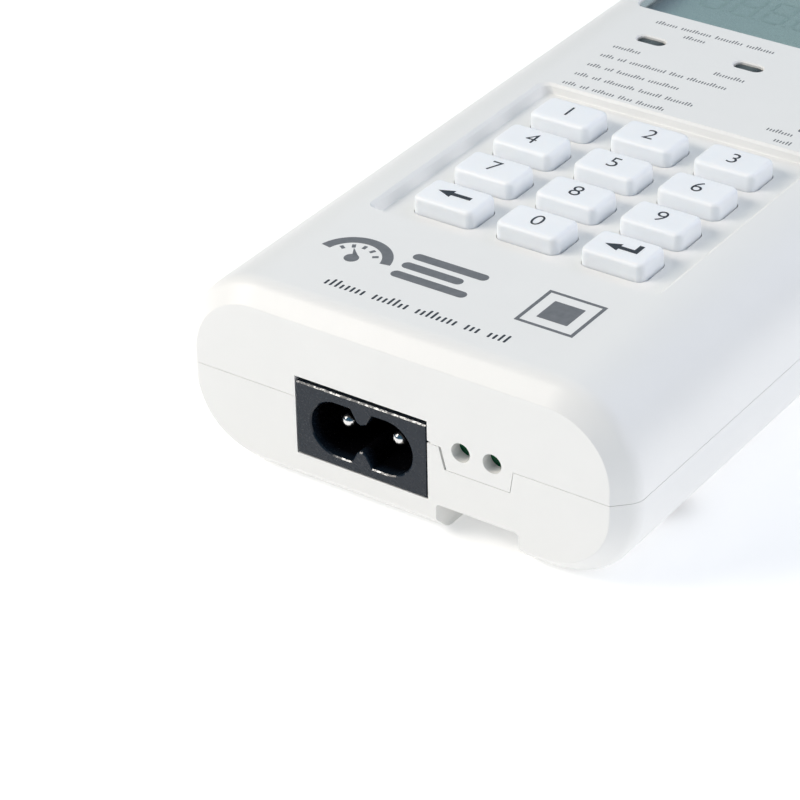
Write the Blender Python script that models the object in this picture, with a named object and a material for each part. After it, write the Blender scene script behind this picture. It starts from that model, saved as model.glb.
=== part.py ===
"""Keypad unit of a split prepaid electricity meter: a two-shell plastic case that lies on its back.

Lengths are in millimetres and are scaled to metres when each mesh is made. X is the width, with the mains
inlet left of the middle; Y runs from the connector end (low) to the display end (high); Z = 0 is the
underside. Places along the case are mostly counted from the connector end face, with end().
"""

import math

import bmesh
import bpy
from mathutils import Matrix, Vector

MM = 0.001
GAP = 0.3  # kept between neighbouring pieces

# Case
WIDTH = 74.0
THICKNESS = 30.0
LENGTH = 155.0
WALL = 2.0
CORNER_RADIUS = 13.0
END_CHAMFER = 2.92
SEAM_Z = 15.0
CORNER_STEPS = 9

# Tongue of the front shell that reaches down between the screwdriver holes and the wire channel
TONGUE_TOP = (7.0, 19.0)
TONGUE_BOTTOM = (7.9, 18.5)
TONGUE_Z = 11.6
TONGUE_DEPTH = 4.5

# Keypad
KEY_PITCH = (14.1, 10.3)
KEY_SIZE = (10.4, 6.8)
KEY_RADIUS = 1.5
KEY_EDGE = 0.8
KEY_TOP_Z = 31.1
KEY_BOTTOM_Z = 25.4
WEB_THICKNESS = 1.3
FIRST_ROW = 35.8
KEY_NAMES = (
    ("back", "0", "enter"),
    ("7", "8", "9"),
    ("4", "5", "6"),
    ("1", "2", "3"),
)
RECESS_HALF_WIDTH = 23.85
RECESS_Y = (28.5, 75.0)
RECESS_FLOOR_Z = 28.4

# Display
DISPLAY_HALF_WIDTH = 26.5
DISPLAY_Y = (106.2, 133.0)
DISPLAY_RADIUS = 2.0
DISPLAY_TOP_Z = 29.4
STATUS_X = (-17.35, 0.0, 17.35)
STATUS_Y = 96.1
STATUS_SIZE = (4.7, 2.0)
STATUS_TOP_Z = 29.65
STATUS_GAP = 0.2

# Main circuit board
BOARD_HALF_WIDTH = 31.0
BOARD_Y = (4.4, 150.0)
BOARD_Z = (22.6, 24.2)
UNDER_BOARD_Z = BOARD_Z[0] - GAP
ON_BOARD_Z = BOARD_Z[1] + GAP

# Figure-8 mains inlet
INLET_X = -5.92
INLET_WINDOW_X = (-16.97, 5.13)
INLET_WINDOW_Z = (5.8, 18.4)
INLET_FACE_X = (-16.7, 4.86)
INLET_FACE_Z = (6.05, 17.65)
SOCKET_Z = 11.7
SOCKET_WIDTH = 17.0
SOCKET_HEIGHT = 8.6
SOCKET_WAIST = 4.4
SOCKET_DEPTH = 12.0
INLET_DEPTH = 15.0
PIN_OFFSET = 4.3
PIN_RADIUS = 1.18
PIN_TIP = 2.3

# Terminal block, its screwdriver holes and the wire channel below
TERMINAL_X = (10.58, 15.63)
TERMINAL_Z = 15.2
TERMINAL_HOLE_RADIUS = 1.5
CHANNEL_X = (6.4, 19.8)
CHANNEL_DEPTH = 16.2
CHANNEL_ROOF_Z = 5.45
WIRE_HOLE_RADIUS = 1.8
WIRE_HOLE_Y = 7.6

# Case screws
SCREW_X = 29.0
SCREW_Y = (24.0, 138.0)
BOSS_RADIUS = 3.5
COUNTERBORE_RADIUS = 3.1
SCREW_SEAT_Z = 11.0
SCREW_RADIUS = 1.45

# Battery bay and its sliding door
CELL_RADIUS = 7.1
CELL_LENGTH = 50.5
CELL_PITCH = 15.2
CELL_Z = 9.9
BAY_HALF_WIDTH = 23.5
BAY_Y = (86.0, 143.0)
BAY_CEILING_Z = 18.0
BAY_WALL = 1.5
DOOR_END_Z = 11.0
CONTACT_THICKNESS = 0.5
SPRING_LENGTH = 3.8

FAR = 1.0  # how far a cutter runs past the face that it opens

MATERIALS = {
    "case": ((0.83, 0.83, 0.81), 0.5, 0.0),
    "silicone": ((0.85, 0.87, 0.89), 0.45, 0.0),
    "inlet_black": ((0.03, 0.032, 0.038), 0.5, 0.0),
    "pin_metal": ((0.75, 0.75, 0.74), 0.25, 1.0),
    "clear": ((0.75, 0.8, 0.82), 0.05, 0.0),
    "lcd": ((0.3, 0.36, 0.33), 0.15, 0.0),
    "smoked": ((0.02, 0.02, 0.022), 0.2, 0.0),
    "white_plastic": ((0.8, 0.8, 0.78), 0.4, 0.0),
    "rubber": ((0.05, 0.05, 0.05), 0.7, 0.0),
    "led": ((0.8, 0.3, 0.2), 0.3, 0.0),
    "board_green": ((0.02, 0.14, 0.06), 0.4, 0.0),
    "terminal_green": ((0.03, 0.3, 0.12), 0.45, 0.0),
    "steel": ((0.6, 0.6, 0.6), 0.35, 1.0),
    "cell_jacket": ((0.12, 0.13, 0.15), 0.35, 0.0),
    "black_plastic": ((0.03, 0.03, 0.03), 0.5, 0.0),
    "ferrite": ((0.06, 0.06, 0.065), 0.6, 0.0),
    "yellow_tape": ((0.75, 0.55, 0.08), 0.5, 0.0),
    "blue_epoxy": ((0.05, 0.16, 0.45), 0.4, 0.0),
    "glass": ((0.7, 0.72, 0.7), 0.1, 0.0),
}


def end(distance):
    """Y of a place counted from the connector end face."""
    return distance - LENGTH / 2


def clear_scene():
    for obj in list(bpy.data.objects):
        bpy.data.objects.remove(obj, do_unlink=True)


def material(name):
    found = bpy.data.materials.get(name)
    if found:
        return found
    colour, roughness, metallic = MATERIALS[name]
    made = bpy.data.materials.new(name)
    made.use_nodes = True
    shader = made.node_tree.nodes["Principled BSDF"]
    shader.inputs["Base Color"].default_value = (*colour, 1.0)
    shader.inputs["Roughness"].default_value = roughness
    shader.inputs["Metallic"].default_value = metallic
    made.diffuse_color = (*colour, 1.0)
    return made


# ---------------------------------------------------------------- shapes, each a bmesh in millimetres


def loft(rings):
    """Closed solid through rings of equally many points, flat at both ends."""
    bm = bmesh.new()
    loops = [[bm.verts.new(point) for point in ring] for ring in rings]
    for low, high in zip(loops, loops[1:]):
        for i in range(len(low)):
            j = (i + 1) % len(low)
            bm.faces.new((low[i], low[j], high[j], high[i]))
    bm.faces.new(reversed(loops[0]))
    bm.faces.new(loops[-1])
    bmesh.ops.recalc_face_normals(bm, faces=bm.faces)
    return bm


def block(x, y, z):
    """Box between two limits along each axis."""
    ring = ((x[0], y[0]), (x[1], y[0]), (x[1], y[1]), (x[0], y[1]))
    return loft([[(*point, level) for point in ring] for level in z])


def prism_y(outline, y):
    """Outline in X and Z, extruded along Y."""
    return loft([[(px, level, pz) for px, pz in outline] for level in y])


def prism_z(outline, z):
    """Outline in X and Y, extruded along Z."""
    return loft([[(px, py, level) for px, py in outline] for level in z])


def rounded_rectangle(width, height, radius, steps, centre=(0.0, 0.0)):
    """Outline of a rectangle with round corners, anticlockwise."""
    points = []
    for quarter, (sx, sy) in enumerate(((1, 1), (-1, 1), (-1, -1), (1, -1))):
        cx = centre[0] + sx * (width / 2 - radius)
        cy = centre[1] + sy * (height / 2 - radius)
        for i in range(steps + 1):
            angle = math.pi / 2 * (quarter + i / steps)
            points.append((cx + radius * math.cos(angle), cy + radius * math.sin(angle)))
    return points


def pill(width, height, steps, centre):
    """Outline of a slot with fully round ends, its corners not quite meeting."""
    return rounded_rectangle(width, height, height * 0.499, steps, centre)


def cylinder(radius, ends, centre, axis="Z", steps=20):
    """Cylinder along an axis, between two limits on it, about a centre in the two other axes."""
    depth = ends[1] - ends[0]
    middle = (ends[0] + ends[1]) / 2
    bm = bmesh.new()
    bmesh.ops.create_cone(
        bm, cap_ends=True, segments=steps, radius1=radius, radius2=radius, depth=depth
    )
    if axis == "Y":
        place = Matrix.Translation((centre[0], middle, centre[1]))
        bm.transform(place @ Matrix.Rotation(math.pi / 2, 4, "X"))
    elif axis == "X":
        place = Matrix.Translation((middle, *centre))
        bm.transform(place @ Matrix.Rotation(math.pi / 2, 4, "Y"))
    else:
        bm.transform(Matrix.Translation((*centre, middle)))
    return bm


def turned(profile, steps=20):
    """Solid turned about Z, from (radius, height) points that run upwards and stay off the axis."""
    rings = []
    for radius, height in profile:
        angles = [2 * math.pi * i / steps for i in range(steps)]
        rings.append([(radius * math.cos(a), radius * math.sin(a), height) for a in angles])
    return loft(rings)


def several(shapes):
    """One bmesh that holds separate closed shapes."""
    whole = bmesh.new()
    for shape in shapes:
        mesh = bpy.data.meshes.new("shape")
        shape.to_mesh(mesh)
        shape.free()
        whole.from_mesh(mesh)
        bpy.data.meshes.remove(mesh)
    return whole


def tube(points, radius, sides=6):
    """Round wire through points, flat at both ends."""
    rings = []
    for i, point in enumerate(points):
        before = points[max(i - 1, 0)]
        after = points[min(i + 1, len(points) - 1)]
        along = (Vector(after) - Vector(before)).normalized()
        if i == 0:
            across = along.orthogonal()
        across = (across - along * across.dot(along)).normalized()
        other = along.cross(across)
        ring = []
        for k in range(sides):
            angle = 2 * math.pi * k / sides
            ring.append(Vector(point) + radius * (math.cos(angle) * across + math.sin(angle) * other))
        rings.append(ring)
    return loft(rings)


# ---------------------------------------------------------------- objects


def add(name, bm, material_name, origin=(0.0, 0.0, 0.0)):
    """Object from a bmesh in millimetres whose coordinates are relative to the origin."""
    bm.transform(Matrix.Scale(MM, 4))
    bmesh.ops.recalc_face_normals(bm, faces=bm.faces)
    mesh = bpy.data.meshes.new(name)
    bm.to_mesh(mesh)
    bm.free()
    mesh.materials.append(material(material_name))
    mesh.shade_smooth()
    mesh.set_sharp_from_angle(angle=math.radians(35))
    obj = bpy.data.objects.new(name, mesh)
    obj.location = Vector(origin) * MM
    bpy.context.scene.collection.objects.link(obj)
    return obj


def combine(obj, bm, operation, tag, origin=(0.0, 0.0, 0.0)):
    """Joins, cuts or intersects an object with a helper solid that stays hidden."""
    helper = add(f"{obj.name}_{tag}", bm, "steel", origin)
    helper.hide_render = True
    helper.display_type = "WIRE"
    modifier = obj.modifiers.new(tag, "BOOLEAN")
    modifier.operation = operation
    modifier.solver = "EXACT"
    modifier.object = helper


def cut(obj, bm, tag, origin=(0.0, 0.0, 0.0)):
    combine(obj, bm, "DIFFERENCE", tag, origin)


def join(obj, bm, tag, origin=(0.0, 0.0, 0.0)):
    combine(obj, bm, "UNION", tag, origin)


# ---------------------------------------------------------------- case


def case_ring(y, inset):
    """Cross-section of the case at y, pulled in by inset on all sides."""
    outline = rounded_rectangle(
        WIDTH - 2 * inset,
        THICKNESS - 2 * inset,
        CORNER_RADIUS - inset,
        CORNER_STEPS,
        (0.0, THICKNESS / 2),
    )
    return [(x, y, z) for x, z in outline]


def case_outside():
    """Outer shape of the closed case: a chamfered ring at both ends, soft where it meets the sides."""
    ends = ((0.0, END_CHAMFER), (2.5, 0.42), (3.3, 0.1), (4.4, 0.0))
    near = [case_ring(end(y), inset) for y, inset in ends]
    far = [case_ring(end(LENGTH - y), inset) for y, inset in reversed(ends)]
    return loft(near + far)


def case_inside():
    """Hollow of the closed case, one wall inside the outer shape."""
    slope = END_CHAMFER + WALL * math.sqrt(2)
    ends = ((WALL, slope - WALL), (slope - WALL, WALL))
    near = [case_ring(end(y), inset) for y, inset in ends]
    far = [case_ring(end(LENGTH - y), inset) for y, inset in reversed(ends)]
    return loft(near + far)


def seam_side(offset, past_z):
    """Everything on one side of the seam between the shells, which steps down round the tongue."""
    side = WIDTH / 2 + FAR
    level = SEAM_Z + offset
    rings = []
    for y, bottom in (
        (-FAR, TONGUE_Z + offset),
        (TONGUE_DEPTH, TONGUE_Z + offset),
        (TONGUE_DEPTH + 1.0, level),
        (LENGTH + FAR, level),
    ):
        line = (
            (-side, level),
            (TONGUE_TOP[0] + offset, level),
            (TONGUE_BOTTOM[0] + offset, bottom),
            (TONGUE_BOTTOM[1] - offset, bottom),
            (TONGUE_TOP[1] - offset, level),
            (side, level),
            (side, past_z),
            (-side, past_z),
        )
        rings.append([(x, end(y), z) for x, z in line])
    return loft(rings)


def key_places():
    for row, names in enumerate(KEY_NAMES):
        for column, name in enumerate(names):
            yield name, (column - 1) * KEY_PITCH[0], end(FIRST_ROW + row * KEY_PITCH[1])


def key_openings(margin, z):
    """A rounded slot round each key."""
    size = (KEY_SIZE[0] + 2 * margin, KEY_SIZE[1] + 2 * margin)
    slots = []
    for _, x, y in key_places():
        outline = rounded_rectangle(*size, KEY_RADIUS + margin, 3, (x, y))
        slots.append(prism_z(outline, z))
    return several(slots)


def screw_places():
    for side in (-1, 1):
        for y in SCREW_Y:
            yield side * SCREW_X, end(y)


def boss(x, y, radius, seam_z, upper):
    """Column from the seam into the middle of the curved wall above or below it."""
    seam_ring, wall_ring = [], []
    for i in range(20):
        angle = 2 * math.pi * i / 20
        px, py = x + radius * math.cos(angle), y + radius * math.sin(angle)
        past_flat = max(abs(px) - (WIDTH / 2 - CORNER_RADIUS), 0.0)
        depth = CORNER_RADIUS - math.sqrt(CORNER_RADIUS**2 - past_flat**2) + WALL / 2
        seam_ring.append((px, py, seam_z))
        wall_ring.append((px, py, THICKNESS - depth if upper else depth))
    return loft([seam_ring, wall_ring])


def display_outline(margin, radius=DISPLAY_RADIUS):
    middle = (DISPLAY_Y[0] + DISPLAY_Y[1]) / 2
    size = (2 * DISPLAY_HALF_WIDTH + 2 * margin, DISPLAY_Y[1] - DISPLAY_Y[0] + 2 * margin)
    return rounded_rectangle(*size, radius + margin, 4, (0.0, end(middle)))


def inlet_window():
    return block(INLET_WINDOW_X, (end(-FAR), end(WALL + 1.5)), INLET_WINDOW_Z)


def front_case():
    case = add("front_case", case_outside(), "case")
    cut(case, seam_side(GAP / 2, -FAR), "below_seam")
    cut(case, case_inside(), "hollow")
    recess_wall = 1.8
    floor_x = (-RECESS_HALF_WIDTH - recess_wall, RECESS_HALF_WIDTH + recess_wall)
    floor_y = (end(RECESS_Y[0] - recess_wall), end(RECESS_Y[1] + recess_wall))
    join(case, block(floor_x, floor_y, (RECESS_FLOOR_Z - WALL, THICKNESS - WALL + 0.5)), "keypad_floor")
    bosses = [boss(x, y, BOSS_RADIUS, SEAM_Z + GAP / 2, True) for x, y in screw_places()]
    join(case, several(bosses), "screw_bosses")
    middle = (RECESS_Y[0] + RECESS_Y[1]) / 2
    size = (2 * RECESS_HALF_WIDTH, RECESS_Y[1] - RECESS_Y[0])
    floor = rounded_rectangle(size[0], size[1], 1.2, 3, (0.0, end(middle)))
    rim = rounded_rectangle(size[0] + 0.6, size[1] + 0.4, 1.5, 3, (0.0, end(middle)))
    above = THICKNESS + FAR
    recess = loft(
        [
            [(x, y, RECESS_FLOOR_Z) for x, y in floor],
            [(x, y, THICKNESS) for x, y in rim],
            [(x, y, above) for x, y in rim],
        ]
    )
    cut(case, recess, "keypad_recess")
    cut(case, key_openings(GAP, (RECESS_FLOOR_Z - WALL - FAR, above)), "key_slots")
    pocket_x = DISPLAY_HALF_WIDTH + 2.8
    pocket_y = (end(DISPLAY_Y[0] - 3.3), end(DISPLAY_Y[1] + 3.3))
    cut(case, block((-pocket_x, pocket_x), pocket_y, (BOARD_Z[0], THICKNESS - WALL - 0.05)), "display_pocket")
    windows = [prism_z(display_outline(0.0), (THICKNESS - WALL - FAR, above))]
    length, width = STATUS_SIZE[0] + 2 * STATUS_GAP, STATUS_SIZE[1] + 2 * STATUS_GAP
    for x in STATUS_X:
        outline = pill(length, width, 5, (x, end(STATUS_Y)))
        windows.append(prism_z(outline, (THICKNESS - WALL - FAR, above)))
    cut(case, several(windows), "windows")
    cut(case, inlet_window(), "inlet_window")
    holes = []
    for x in TERMINAL_X:
        holes.append(cylinder(TERMINAL_HOLE_RADIUS, (end(-FAR), end(WALL + FAR)), (x, TERMINAL_Z), "Y", 24))
    for x, y in screw_places():
        holes.append(cylinder(SCREW_RADIUS + GAP, (SEAM_Z - FAR, THICKNESS - WALL - 4.0), (x, y)))
    cut(case, several(holes), "holes")


def channel_hood(into_floor):
    """Walls and roof round the wire channel, with a front that slopes like the end chamfer, inside it."""
    front, back, top = WALL / 2, CHANNEL_DEPTH + 1.5, CHANNEL_ROOF_Z + WALL
    slope = ((front, END_CHAMFER), (END_CHAMFER, into_floor))
    side = (*slope, (back, into_floor), (back, top), (front, top))
    return loft([[(x, end(y), z) for y, z in side] for x in (CHANNEL_X[0] - 1.1, CHANNEL_X[1] + 1.1)])


def rear_case():
    case = add("rear_case", case_outside(), "case")
    cut(case, seam_side(-GAP / 2, THICKNESS + FAR), "above_seam")
    cut(case, case_inside(), "hollow")
    into_floor = WALL / 2
    tub_x = (-BAY_HALF_WIDTH - BAY_WALL, BAY_HALF_WIDTH + BAY_WALL)
    tub_y = (end(BAY_Y[0] - BAY_WALL), end(LENGTH - 4.5))
    join(case, block(tub_x, tub_y, (into_floor, BAY_CEILING_Z + BAY_WALL)), "battery_tub")
    join(case, channel_hood(into_floor), "channel_hood")
    bosses = [boss(x, y, BOSS_RADIUS + 0.7, SEAM_Z - GAP / 2, False) for x, y in screw_places()]
    join(case, several(bosses), "screw_bosses")
    channel = block(CHANNEL_X, (end(-FAR), end(CHANNEL_DEPTH)), (-FAR, CHANNEL_ROOF_Z))
    cut(case, channel, "wire_channel")
    bay_x = (-BAY_HALF_WIDTH, BAY_HALF_WIDTH)
    bay = block(bay_x, (end(BAY_Y[0]), end(BAY_Y[1])), (-FAR, BAY_CEILING_Z))
    latch_pocket = block(bay_x, (end(BAY_Y[1] + BAY_WALL), end(LENGTH - 6.0)), (-FAR, DOOR_END_Z))
    cut(case, several([bay, latch_pocket]), "battery_bay")
    cut(case, door_space(), "door_space")
    cut(case, inlet_window(), "inlet_window")
    holes = []
    for x in TERMINAL_X:
        roof = (CHANNEL_ROOF_Z - FAR, CHANNEL_ROOF_Z + WALL + FAR)
        holes.append(cylinder(WIRE_HOLE_RADIUS, roof, (x, end(WIRE_HOLE_Y))))
    for x, y in screw_places():
        holes.append(cylinder(SCREW_RADIUS + GAP, (SCREW_SEAT_Z - FAR, SEAM_Z + FAR), (x, y)))
    cut(case, several(holes), "holes")
    bores = []
    for x, y in screw_places():
        bores.append(cylinder(COUNTERBORE_RADIUS, (-FAR, SCREW_SEAT_Z), (x, y)))
    cut(case, several(bores), "counterbores")


def door_space():
    """The door's way out: thin along the bay, and as high as the upturned end at the end wall."""
    top = WALL + GAP
    near, turn, past = end(BAY_Y[0]), end(LENGTH - 4.3), end(LENGTH + FAR)
    over_end = DOOR_END_Z + GAP
    side = ((near, -FAR), (past, -FAR), (past, over_end), (turn, over_end), (turn, top), (near, top))
    return loft([[(x, y, z) for y, z in side] for x in (-BAY_HALF_WIDTH, BAY_HALF_WIDTH)])


def battery_door():
    """Plate flush with the underside that turns up over the end wall, so it slides off along +Y."""
    origin = (0.0, end((BAY_Y[0] + LENGTH) / 2), 0.0)
    half = BAY_HALF_WIDTH - GAP
    near = end(BAY_Y[0] + GAP) - origin[1]
    far = end(LENGTH + FAR) - origin[1]
    door = add("battery_door", block((-half, half), (near, far), (-FAR, DOOR_END_Z)), "case", origin)
    combine(door, case_outside(), "INTERSECT", "case_shape")
    cut(door, case_inside(), "hollow")


def case_screws():
    """Four pan-head screws with a cross recess, driven upwards into the front shell."""
    head, length = 2.0, 12.0
    profile = (
        (1.9, -head),
        (2.6, -head + 0.6),
        (2.7, -GAP),
        (2.7, 0.0),
        (SCREW_RADIUS, 0.0),
        (SCREW_RADIUS, length - 2.0),
        (0.6, length),
    )
    seat = SCREW_SEAT_Z - GAP
    for number, (x, y) in enumerate(screw_places(), 1):
        screw = add(f"case_screw_{number}", turned(profile, 16), "steel", (x, y, seat))
        arm, width = 1.5, 0.35
        low, high = -head - FAR, -head + 1.1
        cross = (
            (width, arm), (-width, arm), (-width, width), (-arm, width), (-arm, -width), (-width, -width),
            (-width, -arm), (width, -arm), (width, -width), (arm, -width), (arm, width), (width, width),
        )
        cut(screw, prism_z(cross, (low, high)), "cross_recess", (x, y, seat))


# ---------------------------------------------------------------- keypad


def key_body(steps=4):
    """One key about its centre: straight sides, and a softly rounded top edge."""
    rise = KEY_TOP_Z - KEY_BOTTOM_Z
    levels = ((0.0, 0.0), (rise - 1.0, 0.0), (rise - 0.35, 0.15), (rise - 0.08, 0.45), (rise, KEY_EDGE))
    rings = []
    for height, inset in levels:
        outline = rounded_rectangle(
            KEY_SIZE[0] - 2 * inset, KEY_SIZE[1] - 2 * inset, KEY_RADIUS - inset * 0.6, steps
        )
        rings.append([(x, y, height) for x, y in outline])
    return loft(rings)


def keypad():
    for name, x, y in key_places():
        add(f"key_{name}", key_body(), "silicone", (x, y, KEY_BOTTOM_Z))
    inset = 0.8
    half = RECESS_HALF_WIDTH - inset
    y = (end(RECESS_Y[0] + inset), end(RECESS_Y[1] - inset))
    web_top = ON_BOARD_Z + WEB_THICKNESS
    mat = add("keypad_mat", block((-half, half), y, (ON_BOARD_Z, web_top)), "silicone")
    cut(mat, key_openings(GAP, (ON_BOARD_Z - FAR, web_top + FAR)), "key_holes")


# ---------------------------------------------------------------- display and indicators


def display():
    flange_top = THICKNESS - WALL - GAP
    flange = prism_z(display_outline(1.8), (flange_top - 0.9, flange_top))
    window = add("display_window", flange, "clear")
    join(window, prism_z(display_outline(-GAP), (flange_top - 0.5, DISPLAY_TOP_Z)), "raised_pane")

    glass_top = flange_top - 0.9 - GAP
    side = DISPLAY_HALF_WIDTH + 1.2
    near, far = end(DISPLAY_Y[0] - 1.5), end(DISPLAY_Y[1] + 1.5)
    add("lcd_glass", block((-side, side), (near, far), (glass_top - 1.1, glass_top)), "lcd")

    under_glass = glass_top - 1.1 - GAP
    guide = block((-side + 2.0, side - 2.0), (near + 3.2, far - 2.0), (ON_BOARD_Z, under_glass))
    add("lcd_backlight", guide, "white_plastic")
    frame = block((-side - 1.2, side + 1.2), (near - 1.2, far + 1.2), (ON_BOARD_Z, glass_top))
    holder = add("lcd_frame", frame, "white_plastic")
    pocket = block((-side - GAP, side + GAP), (near - GAP, far + GAP), (under_glass, glass_top + FAR))
    hole = block((-side + 1.0, side - 1.0), (near + 0.6, far - 1.0), (ON_BOARD_Z - FAR, under_glass + FAR))
    cut(holder, pocket, "glass_pocket")
    cut(holder, hole, "light_hole")
    strip = block((-side + 3.0, side - 3.0), (near + 0.9, near + 2.9), (ON_BOARD_Z, under_glass))
    add("display_connector_strip", strip, "rubber")


def indicators():
    pipe_low, led_top = 25.7, 25.3
    for place, x in zip(("left", "middle", "right"), STATUS_X):
        outline = pill(*STATUS_SIZE, 5, (0.0, 0.0))
        pipe = prism_z(outline, (0.0, STATUS_TOP_Z - pipe_low))
        add(f"indicator_window_{place}", pipe, "smoked", (x, end(STATUS_Y), pipe_low))
        body = block((-1.6, 1.6), (-0.8, 0.8), (0.0, led_top - ON_BOARD_Z))
        add(f"indicator_led_{place}", body, "led", (x, end(STATUS_Y), ON_BOARD_Z))


# ---------------------------------------------------------------- connector end


def socket_outline(steps=8):
    """Figure 8 in X and Z: two round ends, joined by flats that a V pulls in at the middle."""
    radius = SOCKET_HEIGHT / 2
    centre = SOCKET_WIDTH / 2 - radius
    half_waist = SOCKET_WAIST / 2
    points = []
    for side in (1, -1):
        for i in range(steps + 1):
            angle = math.pi * (i / steps - 0.5) * side
            points.append((side * (centre + radius * math.cos(angle)), radius * math.sin(angle)))
        flat = radius * side
        for x, z in ((1.9, radius), (0.9, half_waist + 0.45), (0.3, half_waist), (-0.3, half_waist)):
            points.append((x * side, z * side))
        points += [(-0.9 * side, (half_waist + 0.45) * side), (-1.9 * side, flat)]
    return [(INLET_X + x, SOCKET_Z + z) for x, z in points]


def inlet():
    face_left, face_right = INLET_FACE_X
    face = block(INLET_FACE_X, (end(0.0), end(3.0)), INLET_FACE_Z)
    housing = add("inlet_housing", face, "inlet_black")
    flange_x = (face_left - 1.8, face_right - 0.3)
    flange = block(flange_x, (end(WALL + GAP), end(4.3)), (6.4, 19.4))
    body_x = (face_left + 0.4, face_right - 0.6)
    body = block(body_x, (end(3.5), end(INLET_DEPTH)), (6.6, 17.2))
    join(housing, flange, "flange")
    join(housing, body, "body")
    cut(housing, prism_y(socket_outline(), (end(-FAR), end(SOCKET_DEPTH))), "socket")
    back = (end(SOCKET_DEPTH - FAR), end(INLET_DEPTH + FAR))
    bores = []
    for side in (-1, 1):
        bores.append(cylinder(PIN_RADIUS + GAP, back, (INLET_X + side * PIN_OFFSET, SOCKET_Z), "Y"))
    cut(housing, several(bores), "pin_bores")
    for place, side in (("left", -1), ("right", 1)):
        origin = (INLET_X + side * PIN_OFFSET, end(PIN_TIP), SOCKET_Z)
        length = INLET_DEPTH + 2.5 - PIN_TIP
        profile = [(PIN_RADIUS, -length)]
        for i in range(5):
            angle = math.pi / 2 * i / 4 * 0.96
            profile.append((PIN_RADIUS * math.cos(angle), PIN_RADIUS * (math.sin(angle) - 1)))
        shape = turned(profile, 16)
        shape.transform(Matrix.Rotation(math.pi / 2, 4, "X"))
        pin = add(f"inlet_pin_{place}", shape, "pin_metal", origin)
        tag = block((-0.9, 0.9), (length - 1.2, length - 0.4), (-0.6, UNDER_BOARD_Z - SOCKET_Z))
        join(pin, tag, "solder_tag", origin)


def terminals():
    half_pitch, bottom = 2.54, 10.4
    low, high = TERMINAL_X[0] - half_pitch, TERMINAL_X[1] + half_pitch
    near, far = end(WALL + 0.6), end(11.4)
    body = block((low, high), (near, far), (bottom, UNDER_BOARD_Z))
    holder = add("terminal_block", body, "terminal_green")
    holes = []
    wire_holes = []
    for x in TERMINAL_X:
        holes.append(cylinder(1.75, (near - FAR, end(9.0)), (x, TERMINAL_Z), "Y", 16))
        wire_holes.append(cylinder(1.9, (bottom - FAR, 17.6), (x, end(WIRE_HOLE_Y)), "Z", 12))
    cut(holder, several(holes), "screw_holes")
    cut(holder, several(wire_holes), "wire_holes")
    for number, x in enumerate(TERMINAL_X, 1):
        origin = (x, end(3.6), TERMINAL_Z)
        shape = cylinder(1.45, (0.0, 3.2), (0.0, 0.0), "Y", 16)
        screw = add(f"clamp_screw_{number}", shape, "steel", origin)
        slot = block((-2.0, 2.0), (-FAR, 0.8), (-0.3, 0.3))
        cut(screw, slot, "slot", origin)


# ---------------------------------------------------------------- circuit board and what hangs below it


def main_board():
    half = BOARD_HALF_WIDTH
    y_limits = (end(BOARD_Y[0]), end(BOARD_Y[1]))
    board = add("main_board", block((-half, half), y_limits, BOARD_Z), "board_green")
    notches = []
    reach = BOSS_RADIUS + GAP
    through = (BOARD_Z[0] - FAR, BOARD_Z[1] + FAR)
    for x, y in screw_places():
        across = sorted((x - math.copysign(reach, x), math.copysign(half + FAR, x)))
        notches.append(block(across, (y - reach, y + reach), through))
    cut(board, several(notches), "boss_notches")


def hung(name, size, place, material_name):
    """Box-shaped part under the board: its size, then its middle in X and distance from the connector end."""
    x, y, z = size
    body = block((-x / 2, x / 2), (-y / 2, y / 2), (-z, 0.0))
    return add(name, body, material_name, (place[0], end(place[1]), UNDER_BOARD_Z))


def hung_can(name, radius, height, place, material_name):
    """Round part that stands on the underside of the board, its free edge rounded."""
    profile = ((radius - 0.7, -height), (radius, -height + 0.7), (radius, 0.0))
    add(name, turned(profile, 24), material_name, (place[0], end(place[1]), UNDER_BOARD_Z))


def transformer():
    """Two-window ferrite core with one winding round its middle leg."""
    leg, window_width, window_height, thickness = 4.4, 3.6, 9.6, 5.0
    outer_leg, yoke = 2.6, 2.7
    half = leg / 2 + window_width + outer_leg
    height = window_height + 2 * yoke
    place = (-12.0, end(50.0), UNDER_BOARD_Z)
    body = block((-half, half), (-thickness / 2, thickness / 2), (-height, 0.0))
    core = add("transformer_core", body, "ferrite", place)
    windows = []
    for side in (-1, 1):
        x = sorted((side * leg / 2, side * (leg / 2 + window_width)))
        windows.append(block(x, (-thickness, thickness), (-height + yoke, -yoke)))
    cut(core, several(windows), "windows", place)
    build_up = window_width - 2 * GAP
    inner = (leg + 2 * GAP, thickness + 2 * GAP)
    outer = (inner[0] + 2 * build_up, inner[1] + 2 * build_up)
    z = (-height + yoke + GAP, -yoke - GAP)
    coil = add("transformer_winding", prism_z(rounded_rectangle(*outer, 2.0, 4), z), "yellow_tape", place)
    hole = prism_z(rounded_rectangle(*inner, 0.2, 2), (z[0] - FAR, z[1] + FAR))
    cut(coil, hole, "leg_hole", place)


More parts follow.
